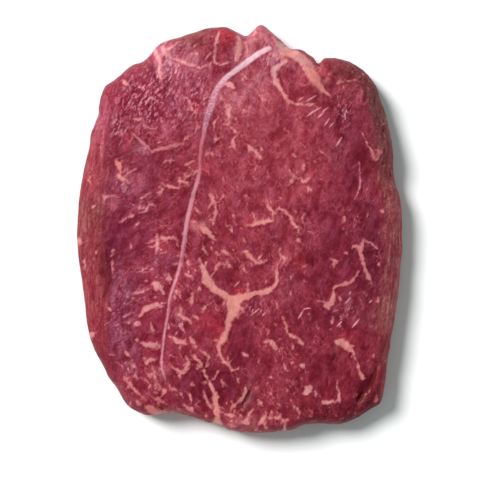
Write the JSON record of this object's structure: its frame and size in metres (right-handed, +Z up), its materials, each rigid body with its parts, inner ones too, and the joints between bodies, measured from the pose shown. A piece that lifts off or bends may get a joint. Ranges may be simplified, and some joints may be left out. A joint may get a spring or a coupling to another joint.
{
  "type": "raw beef steak",
  "caption": "Thick raw beef steak lying flat, an uneven oval slice of marbled lean meat with a gristle seam and a rounded, membrane-covered outer side.",
  "frame": {"origin": "on the floor under the middle of the steak's box, at its flat underside", "axes": "+Z up from the underside to the cut face, +Y along the steak's length towards the end where the gristle seam starts, +X across its width"},
  "size_m": [0.1434, 0.18, 0.0204],
  "materials": {
    "lean": "moist raw meat: dark red lean with pale pink fat marbling, soft and slightly wet"
  },
  "bodies": {
    "root": {"steak": "lean"}
  },
  "joints": []
}
